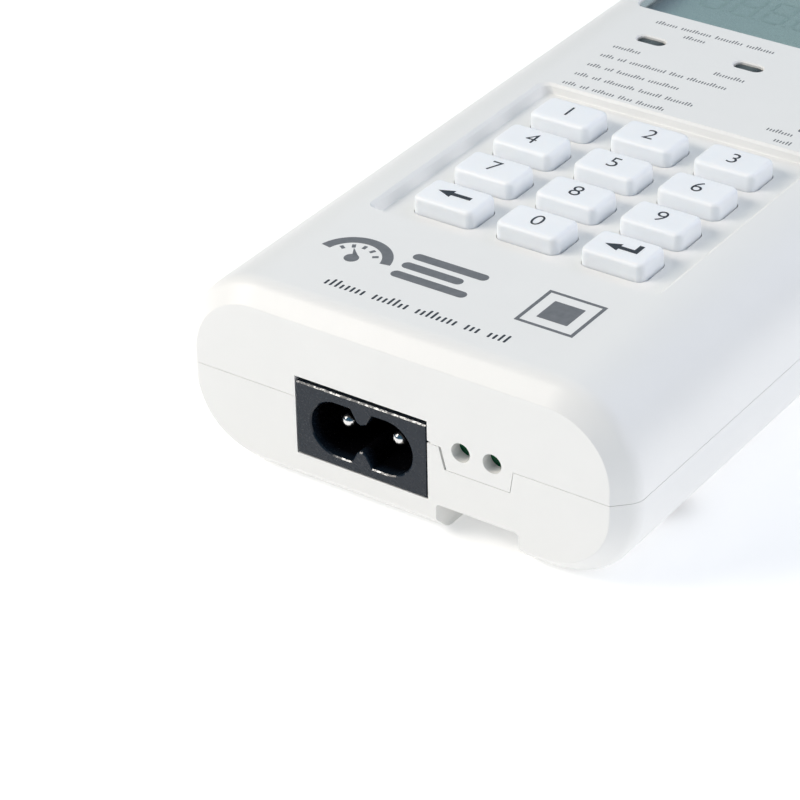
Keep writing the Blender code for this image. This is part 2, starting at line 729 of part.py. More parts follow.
def power_parts():
    hung("suppression_capacitor", (13.0, 6.0, 12.0), (-16.5, 24.0), "yellow_tape")
    hung("coupling_transformer", (12.0, 11.0, 10.0), (12.0, 28.0), "black_plastic")
    hung_can("smoothing_capacitor", 5.0, 16.0, (10.0, 50.0), "black_plastic")
    hung_can("buzzer", 6.0, 9.0, (-16.0, 70.0), "black_plastic")
    hung("microcontroller", (12.0, 12.0, 1.5), (12.0, 70.0), "black_plastic")
    varistor = cylinder(5.0, (-1.9, 1.9), (0.0, 0.0), "Y", 20)
    add("surge_varistor", varistor, "blue_epoxy", (-2.0, end(25.0), UNDER_BOARD_Z - 5.0))
    cap, glass, length, sleeve = 2.6, 2.35, 20.0, 5.5
    half_profile = ((cap, 0.0), (cap, sleeve), (glass, sleeve))
    profile = half_profile + tuple((radius, length - at) for radius, at in reversed(half_profile))
    fuse = turned(profile, 16)
    fuse.transform(Matrix.Rotation(math.pi / 2, 4, "Y"))
    add("mains_fuse", fuse, "glass", (-28.0, end(35.0), UNDER_BOARD_Z - cap))


# ---------------------------------------------------------------- cells and contacts


def cells():
    nub_radius, nub = 2.7, 1.3
    body = CELL_LENGTH - nub
    profile = (
        (CELL_RADIUS - 0.6, 0.0),
        (CELL_RADIUS, 0.5),
        (CELL_RADIUS, body - 0.5),
        (CELL_RADIUS - 0.6, body),
        (nub_radius, body),
        (nub_radius, CELL_LENGTH),
    )
    from_wall = GAP + CONTACT_THICKNESS + SPRING_LENGTH + GAP
    for number, side in enumerate((-1, 0, 1), 1):
        shape = turned(profile, 24)
        if side == 0:
            turn, y = math.pi / 2, BAY_Y[1] - from_wall
        else:
            turn, y = -math.pi / 2, BAY_Y[0] + from_wall
        shape.transform(Matrix.Rotation(turn, 4, "X"))
        add(f"cell_{number}", shape, "cell_jacket", (side * CELL_PITCH, end(y), CELL_Z))


def contact(name, x, y, facing, spring_x=None):
    """Plate against an end of the bay, with a conical spring on it; facing is +1 where it looks along +Y."""
    origin = (0.0, y, CELL_Z)
    along = sorted((0.0, facing * CONTACT_THICKNESS))
    plate = add(name, block(x, along, (-4.5, 4.5)), "pin_metal", origin)
    if spring_x is None:
        return
    turns, steps, wire = 2.5, 12, 0.35
    points = []
    for i in range(int(turns * steps) + 1):
        part = i / (turns * steps)
        angle = 2 * math.pi * turns * part
        radius = 3.6 - 1.6 * part
        reach = CONTACT_THICKNESS / 2 + (SPRING_LENGTH - wire) * part
        points.append((spring_x + radius * math.cos(angle), facing * reach, radius * math.sin(angle)))
    join(plate, tube(points, wire), "spring", origin)


def contacts():
    near, far = end(BAY_Y[0] + GAP), end(BAY_Y[1] - GAP)
    pitch, half = CELL_PITCH, 4.5
    contact("contact_negative", (-pitch - half, -pitch + half), near, 1, -pitch)
    contact("contact_bridge_near", (-half, pitch + half), near, 1, pitch)
    contact("contact_bridge_far", (-pitch - half, half), far, -1, 0.0)
    contact("contact_positive", (pitch - half, pitch + half), far, -1)


def main():
    clear_scene()
    front_case()
    rear_case()
    battery_door()
    case_screws()
    keypad()
    display()
    indicators()
    inlet()
    terminals()
    main_board()
    transformer()
    power_parts()
    cells()
    contacts()


main()
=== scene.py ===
"""Looks of the prepaid meter keypad unit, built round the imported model.

Shapes are made in millimetres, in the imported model's frame, and scaled to metres when each mesh is made.
X is the width, Y runs from the connector end to the display end, Z is up out of the keypad.
"""

import math

import bmesh
import bpy
from mathutils import Matrix, Vector


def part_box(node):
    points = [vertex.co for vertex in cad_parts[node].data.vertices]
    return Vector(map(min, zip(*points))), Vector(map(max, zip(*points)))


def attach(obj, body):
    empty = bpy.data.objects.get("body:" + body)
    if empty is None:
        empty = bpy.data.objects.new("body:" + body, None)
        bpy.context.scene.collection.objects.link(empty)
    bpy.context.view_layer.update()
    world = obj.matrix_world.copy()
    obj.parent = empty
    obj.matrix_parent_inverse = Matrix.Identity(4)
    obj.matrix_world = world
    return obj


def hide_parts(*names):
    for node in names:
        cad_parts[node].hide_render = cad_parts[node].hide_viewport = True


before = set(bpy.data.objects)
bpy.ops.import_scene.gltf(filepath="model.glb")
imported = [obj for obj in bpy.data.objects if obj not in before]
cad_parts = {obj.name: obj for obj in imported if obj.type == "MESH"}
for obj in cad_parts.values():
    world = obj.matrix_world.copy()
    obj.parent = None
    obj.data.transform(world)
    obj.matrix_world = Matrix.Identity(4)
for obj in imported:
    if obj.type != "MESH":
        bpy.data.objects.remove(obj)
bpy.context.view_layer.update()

MM = 0.001
WALL = 2.0
CORNER_RADIUS = 13.0
END_CHAMFER = 2.92
SEAM_Z = 15.0
SEAM_GAP = 0.08  # width of the line between the shells
LIP_INSET = 0.35
PRINT_THICKNESS = 0.012
FAR = 1.0  # how far a cutter runs past the surface that it opens


def limits(node):
    """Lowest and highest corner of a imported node, in millimetres."""
    low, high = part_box(node)
    return low / MM, high / MM


CASE_LOW, _ = limits("rear_case")
_, CASE_HIGH = limits("front_case")
WIDTH = CASE_HIGH.x - CASE_LOW.x
LENGTH = CASE_HIGH.y - CASE_LOW.y
THICKNESS = CASE_HIGH.z
TOP = THICKNESS
END_Y = CASE_LOW.y


def end(distance):
    """Y of a place counted from the connector end face."""
    return END_Y + distance


# ---------------------------------------------------------------- shapes, each a bmesh in millimetres


def loft(rings):
    """Closed solid through rings of equally many points, flat at both ends."""
    bm = bmesh.new()
    loops = [[bm.verts.new(point) for point in ring] for ring in rings]
    for low, high in zip(loops, loops[1:]):
        for i in range(len(low)):
            j = (i + 1) % len(low)
            bm.faces.new((low[i], low[j], high[j], high[i]))
    bm.faces.new(reversed(loops[0]))
    bm.faces.new(loops[-1])
    bmesh.ops.recalc_face_normals(bm, faces=bm.faces)
    return bm


def block(x, y, z):
    ring = ((x[0], y[0]), (x[1], y[0]), (x[1], y[1]), (x[0], y[1]))
    return loft([[(*point, level) for point in ring] for level in z])


def rounded_rectangle(width, height, radius, steps, centre=(0.0, 0.0)):
    """Outline of a rectangle with round corners, anticlockwise."""
    points = []
    for quarter, (sx, sy) in enumerate(((1, 1), (-1, 1), (-1, -1), (1, -1))):
        cx = centre[0] + sx * (width / 2 - radius)
        cy = centre[1] + sy * (height / 2 - radius)
        for i in range(steps + 1):
            angle = math.pi / 2 * (quarter + i / steps)
            points.append((cx + radius * math.cos(angle), cy + radius * math.sin(angle)))
    return points


def stack(size, radius, levels, centre, steps=8):
    """Solid of rounded rectangles, one for each (z, margin) level, in which margin widens the outline."""
    rings = []
    for z, margin in levels:
        outline = rounded_rectangle(
            size[0] + 2 * margin, size[1] + 2 * margin, max(radius + margin, 0.02), steps, centre
        )
        rings.append([(x, y, z) for x, y in outline])
    return loft(rings)


def rim(top_z, radius, steps=5):
    """(z, margin) levels that round the edge of a hole in a surface at top_z."""
    levels = []
    for i in range(steps + 1):
        angle = math.pi / 2 * i / steps
        levels.append((top_z - radius * math.cos(angle), radius * (1 - math.sin(math.pi / 2 - angle))))
    return levels


def cylinder(radius, ends, centre, axis="Z", steps=40):
    """Cylinder along an axis, between two limits on it, about a centre in the two other axes."""
    rings = []
    for level in ends:
        ring = []
        for i in range(steps):
            angle = 2 * math.pi * i / steps
            a, b = centre[0] + radius * math.cos(angle), centre[1] + radius * math.sin(angle)
            ring.append({"X": (level, a, b), "Y": (a, level, b), "Z": (a, b, level)}[axis])
        rings.append(ring)
    return loft(rings)


def turned(profile, steps):
    """Solid turned about Z, from (radius, height) points that run upwards and stay off the axis."""
    rings = []
    for radius, height in profile:
        angles = [2 * math.pi * i / steps for i in range(steps)]
        rings.append([(radius * math.cos(a), radius * math.sin(a), height) for a in angles])
    return loft(rings)


def flat(outline, z, thickness=PRINT_THICKNESS):
    """Thin printed shape from an outline in X and Y."""
    return loft([[(x, y, level) for x, y in outline] for level in (z, z + thickness)])


def several(shapes):
    """One bmesh that holds separate closed shapes."""
    whole = bmesh.new()
    for shape in shapes:
        mesh = bpy.data.meshes.new("shape")
        shape.to_mesh(mesh)
        shape.free()
        whole.from_mesh(mesh)
        bpy.data.meshes.remove(mesh)
    return whole


def to_object(name, bm):
    bm.transform(Matrix.Scale(MM, 4))
    bmesh.ops.recalc_face_normals(bm, faces=bm.faces)
    mesh = bpy.data.meshes.new(name)
    bm.to_mesh(mesh)
    bm.free()
    obj = bpy.data.objects.new(name, mesh)
    bpy.context.scene.collection.objects.link(obj)
    return obj


def carved(name, base, steps):
    """Object from a base shape and (operation, shape) steps, with the Booleans applied."""
    obj = to_object(name, base)
    helpers = []
    for operation, shape in steps:
        helper = to_object("helper", shape)
        helper.hide_render = True
        helpers.append(helper)
        modifier = obj.modifiers.new("step", "BOOLEAN")
        modifier.operation = operation
        modifier.solver = "EXACT"
        modifier.object = helper
    graph = bpy.context.evaluated_depsgraph_get()
    mesh = bpy.data.meshes.new_from_object(obj.evaluated_get(graph))
    obj.modifiers.clear()
    old = obj.data
    obj.data = mesh
    bpy.data.meshes.remove(old)
    mesh.name = name
    for helper in helpers:
        bpy.data.objects.remove(helper, do_unlink=True)
    return obj


def smooth_faces(mesh):
    """Smooth shading, with edges sharp from 30 degrees."""
    mesh.shade_smooth()
    mesh.set_sharp_from_angle(angle=math.radians(30))


def soften(obj, width=0.0):
    """Smooth shading that keeps flat faces flat, after an optional bevel of the sharp edges."""
    if width:
        bevel = obj.modifiers.new("edges", "BEVEL")
        bevel.width = width * MM
        bevel.segments = 2
        bevel.limit_method = "ANGLE"
        bevel.angle_limit = math.radians(50)
        bevel.use_clamp_overlap = True
    smooth_faces(obj.data)
    weighted = obj.modifiers.new("normals", "WEIGHTED_NORMAL")
    weighted.keep_sharp = True
    weighted.weight = 80


def assign(obj, material):
    obj.data.materials.clear()
    obj.data.materials.append(material)


def finished(obj, material, body="case", replaces=()):
    """Gives a piece its material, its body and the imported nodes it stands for."""
    assign(obj, material)
    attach(obj, body)
    if replaces:
        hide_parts(*replaces)


# ---------------------------------------------------------------- materials


class Nodes:
    """Short way to build a node tree round a Principled shader."""

    def __init__(self, name):
        self.material = bpy.data.materials.new(name)
        self.material.use_nodes = True
        self.tree = self.material.node_tree
        self.shader = self.tree.nodes["Principled BSDF"]
        self.coords = self.add("ShaderNodeTexCoord").outputs["Object"]

    def add(self, kind, **settings):
        node = self.tree.nodes.new(kind)
        for key, value in settings.items():
            setattr(node, key, value)
        return node

    def link(self, source, target):
        self.tree.links.new(source, target)

    def set(self, **values):
        for key, value in values.items():
            self.shader.inputs[key.replace("_", " ")].default_value = value

    def colour(self, source):
        self.link(source, self.shader.inputs["Base Color"])

    def roughness(self, source, low, high, limits=(0.3, 0.7)):
        self.link(self.spread(source, low, high, limits), self.shader.inputs["Roughness"])

    def relief(self, source, distance):
        self.link(self.bump(source, distance), self.shader.inputs["Normal"])

    def noise(self, scale, detail=3.0, roughness=0.5):
        node = self.add("ShaderNodeTexNoise")
        node.inputs["Scale"].default_value = scale
        node.inputs["Detail"].default_value = detail
        node.inputs["Roughness"].default_value = roughness
        self.link(self.coords, node.inputs["Vector"])
        return node.outputs["Fac"]

    def ramp(self, fac, stops):
        node = self.add("ShaderNodeValToRGB")
        elements = node.color_ramp.elements
        while len(elements) < len(stops):
            elements.new(0.5)
        for element, (place, colour) in zip(elements, stops):
            element.position = place
            element.color = (*colour, 1.0)
        self.link(fac, node.inputs["Fac"])
        return node.outputs["Color"]

    def spread(self, fac, low, high, source=(0.3, 0.7)):
        node = self.add("ShaderNodeMapRange")
        for key, value in zip(("From Min", "From Max", "To Min", "To Max"), (*source, low, high)):
            node.inputs[key].default_value = value
        self.link(fac, node.inputs["Value"])
        return node.outputs["Result"]

    def bump(self, height, distance, normal=None):
        node = self.add("ShaderNodeBump")
        node.inputs["Strength"].default_value = 1.0
        node.inputs["Distance"].default_value = distance
        self.link(height, node.inputs["Height"])
        if normal is not None:
            self.link(normal, node.inputs["Normal"])
        return node.outputs["Normal"]


def tinted(colour, factor):
    return tuple(min(c * factor, 1.0) for c in colour)


def moulded(name, colour, roughness, grain=0.00025, depth=0.000012, variation=0.012):
    """Moulded plastic: spark-eroded grain and its depth in metres, faint flow mottling, uneven gloss."""
    m = Nodes(name)
    m.set(IOR=1.5)
    mottle = m.noise(28.0, 4.0, 0.6)
    m.colour(m.ramp(mottle, ((0.35, tinted(colour, 1 - variation)), (0.65, tinted(colour, 1 + variation)))))
    fine = m.noise(1 / grain, 2.0, 0.6)
    m.roughness(fine, roughness - 0.05, roughness + 0.05)
    m.relief(fine, depth)
    return m.material


def metal(name, colour, roughness):
    """Plated metal with a fine, slightly uneven surface."""
    m = Nodes(name)
    m.set(Metallic=1.0)
    grain = m.noise(1 / 0.00012, 3.0, 0.6)
    m.colour(m.ramp(grain, ((0.3, tinted(colour, 0.9)), (0.7, tinted(colour, 1.06)))))
    m.roughness(grain, roughness * 0.8, roughness * 1.25)
    m.relief(grain, 0.000004)
    return m.material


def silicone():
    """Milky silicone rubber, with painted shade that greys it down its sides where the recess and the keys in
    front shade it; light scatters a little way in, and its skin is satin.
    """
    m = Nodes("key_silicone")
    m.set(IOR=1.55, Subsurface_Weight=0.25, Subsurface_Scale=0.0012)
    m.shader.inputs["Subsurface Radius"].default_value = (0.9, 1.0, 1.1)
    cloud = m.noise(160.0, 3.0, 0.5)
    split = m.add("ShaderNodeSeparateXYZ")
    m.link(m.coords, split.inputs["Vector"])
    # painted shade: the colour runs from a greyer foot (A) to a brighter top (B) up the key's height
    height = m.spread(split.outputs["Z"], 0.0, 1.0, (0.0283, 0.0309))
    mix = m.add("ShaderNodeMix", data_type="RGBA")
    m.link(height, mix.inputs["Factor"])
    m.link(m.ramp(cloud, ((0.3, (0.78, 0.81, 0.85)), (0.7, (0.81, 0.84, 0.875)))), mix.inputs["A"])
    m.link(m.ramp(cloud, ((0.3, (0.92, 0.945, 0.97)), (0.7, (0.95, 0.97, 0.99)))), mix.inputs["B"])
    m.colour(mix.outputs["Result"])
    skin = m.noise(3500.0, 2.0, 0.5)
    m.roughness(skin, 0.36, 0.46)
    m.relief(skin, 0.000006)
    return m.material


def ink(name, colour, roughness=0.4):
    """Screen-printed ink: slightly uneven cover over the plastic's grain."""
    m = Nodes(name)
    cover = m.noise(900.0, 4.0, 0.65)
    m.colour(m.ramp(cover, ((0.3, tinted(colour, 0.85)), (0.75, tinted(colour, 1.2)))))
    m.roughness(cover, roughness - 0.06, roughness + 0.08)
    m.relief(cover, 0.000004)
    return m.material


def clear_pane():
    """Clear window: lets light through and mirrors what is round it at its own gloss."""
    m = Nodes("display_pane")
    facing = m.add("ShaderNodeLayerWeight").outputs["Facing"]
    through = m.add("ShaderNodeBsdfTransparent")
    through.inputs["Color"].default_value = (0.93, 0.96, 0.96, 1.0)
    gloss = m.add("ShaderNodeBsdfGlossy")
    gloss.inputs["Roughness"].default_value = 0.08
    ripple = m.noise(60.0, 2.0, 0.5)
    m.link(m.bump(ripple, 0.00001), gloss.inputs["Normal"])
    power = m.add("ShaderNodeMath", operation="POWER")
    power.inputs[1].default_value = 5.0
    m.link(facing, power.inputs[0])
    mix = m.add("ShaderNodeMixShader")
    m.link(m.spread(power.outputs["Value"], 0.04, 1.0, (0.0, 1.0)), mix.inputs["Fac"])
    m.link(through.outputs["BSDF"], mix.inputs[1])
    m.link(gloss.outputs["BSDF"], mix.inputs[2])
    output = next(n for n in m.tree.nodes if n.type == "OUTPUT_MATERIAL")
    m.link(mix.outputs["Shader"], output.inputs["Surface"])
    m.tree.nodes.remove(m.shader)
    return m.material


def lcd_panel():
    """Reflective grey-green liquid crystal cell, with a painted shadow of the display's bezel that makes it
    darker and bluer towards its left edge.
    """
    m = Nodes("lcd_panel")
    low, high = limits("lcd_glass")
    split = m.add("ShaderNodeSeparateXYZ")
    m.link(m.coords, split.inputs["Vector"])
    across = m.spread(split.outputs["X"], 0.0, 1.0, (low.x * MM, high.x * MM))
    # painted shadow of the bezel: the first stops darken and cool the left edge of the cell
    tint = ((0.02, (0.24, 0.285, 0.33)), (0.08, (0.315, 0.395, 0.395)), (1.0, (0.36, 0.455, 0.415)))
    m.colour(m.ramp(across, tint))
    film = m.noise(5200.0, 2.0, 0.5)
    m.roughness(film, 0.22, 0.32)
    m.relief(film, 0.000002)
    return m.material


def lacquered_board():
    """Circuit board: green solder mask with the faint pattern of copper tracks under it."""
    m = Nodes("circuit_board")
    tracks = m.add("ShaderNodeTexBrick")
    tracks.inputs["Scale"].default_value = 260.0
    tracks.inputs["Mortar Size"].default_value = 0.03
    tracks.inputs["Color1"].default_value = (0.012, 0.11, 0.045, 1.0)
    tracks.inputs["Color2"].default_value = (0.02, 0.16, 0.065, 1.0)
    tracks.inputs["Mortar"].default_value = (0.035, 0.24, 0.1, 1.0)
    m.link(m.coords, tracks.inputs["Vector"])
    m.colour(tracks.outputs["Color"])
    m.roughness(m.noise(700.0), 0.28, 0.4)
    m.relief(tracks.outputs["Fac"], 0.00003)
    return m.material


def black_moulding():
    """Black glass-filled plastic: sparkling textured face, with painted shade that turns it black down in the
    socket.
    """
    m = Nodes("inlet_plastic")
    m.set(IOR=1.42)
    split = m.add("ShaderNodeSeparateXYZ")
    m.link(m.coords, split.inputs["Vector"])
    # painted shade: the colour darkens from the face to near black over the first 2 mm into the socket
    depth = m.spread(split.outputs["Y"], 0.0, 1.0, (end(0.3) * MM, end(2.0) * MM))
    m.colour(m.ramp(depth, ((0.0, (0.008, 0.014, 0.023)), (1.0, (0.002, 0.002, 0.003)))))
    sparkle = m.noise(1700.0, 3.0, 0.6)
    grit = m.noise(6000.0, 2.0, 0.6)
    m.roughness(sparkle, 0.04, 0.3, (0.42, 0.6))
    m.link(m.bump(grit, 0.000003, normal=m.bump(sparkle, 0.00001)), m.shader.inputs["Normal"])
    return m.material


case_plastic = moulded("case_plastic", (0.86, 0.857, 0.838), 0.42)
inlet_plastic = black_moulding()
key_rubber = silicone()
pin_metal = metal("pin_metal", (0.82, 0.81, 0.79), 0.16)
steel = metal("zinc_steel", (0.62, 0.62, 0.61), 0.32)
mark_ink = ink("mark_ink", (0.16, 0.165, 0.175))
fine_ink = ink("fine_ink", (0.15, 0.155, 0.165))
legend_ink = ink("legend_ink", (0.03, 0.035, 0.045), 0.5)

# ---------------------------------------------------------------- case


def case_ring(y, inset, steps):
    outline = rounded_rectangle(
        WIDTH - 2 * inset, THICKNESS - 2 * inset, CORNER_RADIUS - inset, steps, (0.0, THICKNESS / 2)
    )
    return [(x, y, z) for x, z in outline]


def end_profile():
    """(distance, inset) along the end's chamfer: a crisp inner edge, then a slope rounded into the sides."""
    crisp = 0.12
    round_off, steps = 3.2, 9
    tangent = round_off * math.tan(math.pi / 8)
    points = [(0.0, END_CHAMFER + crisp), (crisp * 0.3, END_CHAMFER), (crisp, END_CHAMFER - crisp * 0.75)]
    for i in range(steps + 1):
        angle = math.pi / 4 * (1 - i / steps)
        y = END_CHAMFER + tangent - round_off * math.sin(angle)
        points.append((y, round_off * (1 - math.cos(angle))))
    return points


def case_solid(profile, steps):
    """Solid with the same (distance, inset) profile at both ends."""
    near = [case_ring(end(y), inset, steps) for y, inset in profile]
    far = [case_ring(end(LENGTH - y), inset, steps) for y, inset in reversed(profile)]
    return loft(near + far)


def case_outside():
    return case_solid(end_profile(), 28)


def case_inside(wall=WALL):
    slope = END_CHAMFER + wall * math.sqrt(2)
    return case_solid(((wall, slope - wall), (slope - wall, wall)), 16)


TONGUE_Z = 11.6
TONGUE_TOP_X = (7.0, 19.0)
TONGUE_BOTTOM_X = (7.9, 18.5)
TONGUE_DEPTH = 4.5
SLANT_GAP = 0.3  # extra play on the slanted left side of the tongue


def seam_side(offset, past_z):
    """Everything on one side of the seam between the shells, which steps down round the tongue."""
    side = WIDTH / 2 + FAR
    level = SEAM_Z + offset
    slant = offset + (SLANT_GAP if offset > 0 else 0.0)
    bottom_z = TONGUE_Z + offset
    places = ((-FAR, bottom_z), (TONGUE_DEPTH, bottom_z), (TONGUE_DEPTH + 1.0, level), (LENGTH + FAR, level))
    rings = []
    for y, bottom in places:
        line = (
            (-side, level),
            (TONGUE_TOP_X[0] + slant, level),
            (TONGUE_BOTTOM_X[0] + slant, bottom),
            (TONGUE_BOTTOM_X[1] - offset, bottom),
            (TONGUE_TOP_X[1] - offset, level),
            (side, level),
            (side, past_z),
            (-side, past_z),
        )
        rings.append([(x, end(y), z) for x, z in line])
    return loft(rings)


def lip_ring(z, inner, outer):
    """Upright band that follows the walls at the seam, between two insets from the outer surface."""
    slab = block((-WIDTH / 2 - FAR, WIDTH / 2 + FAR), (end(-FAR), end(LENGTH + FAR)), z)
    return carved_shape(case_inside(outer), [("DIFFERENCE", case_inside(inner)), ("INTERSECT", slab)])


def carved_shape(base, steps):
    """bmesh in millimetres of a carved shape, for use as a cutter."""
    obj = carved("shape", base, steps)
    bm = bmesh.new()
    bm.from_mesh(obj.data)
    bm.transform(Matrix.Scale(1 / MM, 4))
    mesh = obj.data
    bpy.data.objects.remove(obj, do_unlink=True)
    bpy.data.meshes.remove(mesh)
    return bm


def tongue_room():
    """Space round the front shell's tongue, which the lip behind the seam leaves free."""
    return block((6.2, 19.8), (end(-FAR), end(6.5)), (TONGUE_Z - FAR, THICKNESS - WALL))


# Every Y below counts from the connector end face
KEYS = ("back", "0", "enter", "7", "8", "9", "4", "5", "6", "1", "2", "3")
RECESS_HALF_WIDTH = 23.85
RECESS_Y = (28.5, 75.0)
RECESS_FLOOR_Z = 28.4
RECESS_WALL = 1.8
DISPLAY_Y = (106.2, 133.0)
DISPLAY_HALF_WIDTH = 26.5
POCKET_X, POCKET_Y = 2.8, 3.3  # how far the display's pocket runs past the opening
POCKET_Z = 22.6
STATUS = ("left", "middle", "right")
STATUS_GAP = 0.12
INLET_WINDOW_X, INLET_WINDOW_Z = (-16.97, 5.13), (5.8, 18.4)
CHANNEL_X = (6.4, 19.8)
CHANNEL_DEPTH = 16.2
CHANNEL_ROOF_Z = 5.45
CHANNEL_CORNER = 0.6
CLAMP_HOLE_RADIUS = 1.5
WIRE_HOLE_RADIUS = 1.8
WIRE_HOLE_Y = 7.6
SCREW_SEAT_Z = 11.0
SCREW_HOLE_RADIUS = 1.75
COUNTERBORE_RADIUS = 3.1
FRONT_BOSS_RADIUS, REAR_BOSS_RADIUS = 3.5, 4.2
BAY_HALF_WIDTH, BAY_Y, BAY_CEILING_Z, BAY_WALL = 23.5, (86.0, 143.0), 18.0, 1.5
DOOR_HALF_WIDTH, DOOR_Y, DOOR_END_Z = 23.2, 86.3, 11.0


def centre_of(node):
    low, high = limits(node)
    return (low + high) / 2


def size_of(node):
    """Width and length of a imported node."""
    low, high = limits(node)
    return high.x - low.x, high.y - low.y


def screw_places():
    return [centre_of(f"case_screw_{i}")[:2] for i in range(1, 5)]


def boss(x, y, radius, seam_z, upper):
    """Column from the seam into the middle of the wall above or below it."""
    seam_ring, wall_ring = [], []
    for i in range(32):
        angle = 2 * math.pi * i / 32
        px, py = x + radius * math.cos(angle), y + radius * math.sin(angle)
        past_flat = max(abs(px) - (WIDTH / 2 - CORNER_RADIUS), 0.0)
        depth = CORNER_RADIUS - math.sqrt(CORNER_RADIUS**2 - past_flat**2) + WALL / 2
        seam_ring.append((px, py, seam_z))
        wall_ring.append((px, py, THICKNESS - depth if upper else depth))
    return loft([seam_ring, wall_ring])


def recess_cutter():
    """Keypad recess: rounded rim, walls that lean more at the sides than at the ends, and a small fillet."""
    size = (2 * RECESS_HALF_WIDTH, RECESS_Y[1] - RECESS_Y[0])
    centre = (0.0, end((RECESS_Y[0] + RECESS_Y[1]) / 2))
    fillet, round_edge, corner, steps = 0.2, 0.42, 1.3, 6
    side_lean, end_lean = 0.55, 0.03
    levels = []
    for i in range(steps + 1):
        angle = math.pi / 2 * i / steps
        levels.append((RECESS_FLOOR_Z + fillet * (1 - math.cos(angle)), fillet * (math.sin(angle) - 1)))
    levels += rim(TOP, round_edge, steps)[1:]
    levels.append((TOP + FAR, round_edge))
    rings = []
    for z, margin in levels:
        drop = TOP - min(z, TOP)
        width = size[0] + 2 * (margin - side_lean * drop)
        height = size[1] + 2 * (margin - end_lean * drop)
        outline = rounded_rectangle(width, height, corner + margin, 8, centre)
        rings.append([(x, y, z) for x, y in outline])
    return loft(rings)


def key_slots(margin, z):
    slots = []
    for key in KEYS:
        node = f"key_{key}"
        slots.append(stack(size_of(node), 1.5, [(level, margin) for level in z], centre_of(node)[:2]))
    return several(slots)


def display_cutter():
    size = (2 * DISPLAY_HALF_WIDTH, DISPLAY_Y[1] - DISPLAY_Y[0])
    centre = (0.0, end((DISPLAY_Y[0] + DISPLAY_Y[1]) / 2))
    levels = [(TOP - WALL - FAR, 0.0)] + rim(TOP, 0.45) + [(TOP + FAR, 0.45)]
    return stack(size, 2.0, levels, centre, 10)


def status_cutter(place):
    node = f"indicator_window_{place}"
    edge = [(z, margin + STATUS_GAP) for z, margin in rim(TOP, 0.2)]
    levels = [(TOP - WALL - FAR, STATUS_GAP)] + edge + [(TOP + FAR, STATUS_GAP + 0.2)]
    size = size_of(node)
    return stack(size, size[1] / 2 - 0.01, levels, centre_of(node)[:2])


def inlet_window():
    return block(INLET_WINDOW_X, (end(-FAR), end(WALL + 1.5)), INLET_WINDOW_Z)


def front_shell():
    """Upper shell, with a small chip in its seam beside the inlet."""
    floor_x = (-RECESS_HALF_WIDTH - RECESS_WALL, RECESS_HALF_WIDTH + RECESS_WALL)
    floor_y = (end(RECESS_Y[0] - RECESS_WALL), end(RECESS_Y[1] + RECESS_WALL))
    bosses = [boss(x, y, FRONT_BOSS_RADIUS, SEAM_Z + SEAM_GAP / 2, True) for x, y in screw_places()]
    pilot_z = (SEAM_Z - FAR, TOP - WALL - 4.0)
    pilots = [cylinder(SCREW_HOLE_RADIUS, pilot_z, place) for place in screw_places()]
    holes = []
    for i in (1, 2):
        place = centre_of(f"clamp_screw_{i}")
        holes.append(cylinder(CLAMP_HOLE_RADIUS, (end(-FAR), end(WALL + FAR)), (place.x, place.z), "Y", 48))
    pocket_x = DISPLAY_HALF_WIDTH + POCKET_X
    pocket_y = (end(DISPLAY_Y[0] - POCKET_Y), end(DISPLAY_Y[1] + POCKET_Y))
    notch_x = (INLET_WINDOW_X[1] - FAR, INLET_WINDOW_X[1] + 0.5)
    seam_notch = block(notch_x, (end(-FAR), end(WALL)), (SEAM_Z - FAR, SEAM_Z + 0.35))
    rebate = lip_ring((SEAM_Z - FAR, SEAM_Z + 1.6), WALL + 0.3, LIP_INSET - 0.05)
    steps = [
        ("DIFFERENCE", seam_side(SEAM_GAP / 2, -FAR)),
        ("DIFFERENCE", case_inside()),
        ("UNION", block(floor_x, floor_y, (RECESS_FLOOR_Z - WALL, TOP - WALL + 0.5))),
        ("UNION", several(bosses)),
        ("DIFFERENCE", recess_cutter()),
        ("DIFFERENCE", key_slots(0.2, (RECESS_FLOOR_Z - WALL - FAR, RECESS_FLOOR_Z + FAR))),
        ("DIFFERENCE", block((-pocket_x, pocket_x), pocket_y, (POCKET_Z, TOP - WALL - 0.05))),
        ("DIFFERENCE", display_cutter()),
        ("DIFFERENCE", several([status_cutter(place) for place in STATUS])),
        ("DIFFERENCE", inlet_window()),
        ("DIFFERENCE", seam_notch),
        ("DIFFERENCE", several(holes + pilots)),
        ("DIFFERENCE", carved_shape(rebate, [("DIFFERENCE", tongue_room())])),
    ]
    shell = carved("front_shell", case_outside(), steps)
    soften(shell)
    finished(shell, case_plastic, "case", ["front_case"])


def door_space(margin):
    """The door's plate and its upturned end, widened by a margin."""
    top = WALL + margin
    near, turn, past = end(DOOR_Y - margin), end(LENGTH - 4.3), end(LENGTH + FAR)
    high = DOOR_END_Z + margin
    side = ((near, -FAR), (past, -FAR), (past, high), (turn, high), (turn, top), (near, top))
    half = DOOR_HALF_WIDTH + margin
    return loft([[(x, y, z) for y, z in side] for x in (-half, half)])


def channel_hood(floor):
    """Walls and roof round the wire channel, with a front that slopes like the end chamfer, inside it."""
    front, back, top = WALL / 2, CHANNEL_DEPTH + 1.5, CHANNEL_ROOF_Z + WALL
    slope = ((front, END_CHAMFER), (END_CHAMFER, floor))
    side = (*slope, (back, floor), (back, top), (front, top))
    return loft([[(x, end(y), z) for y, z in side] for x in (CHANNEL_X[0] - 1.1, CHANNEL_X[1] + 1.1)])


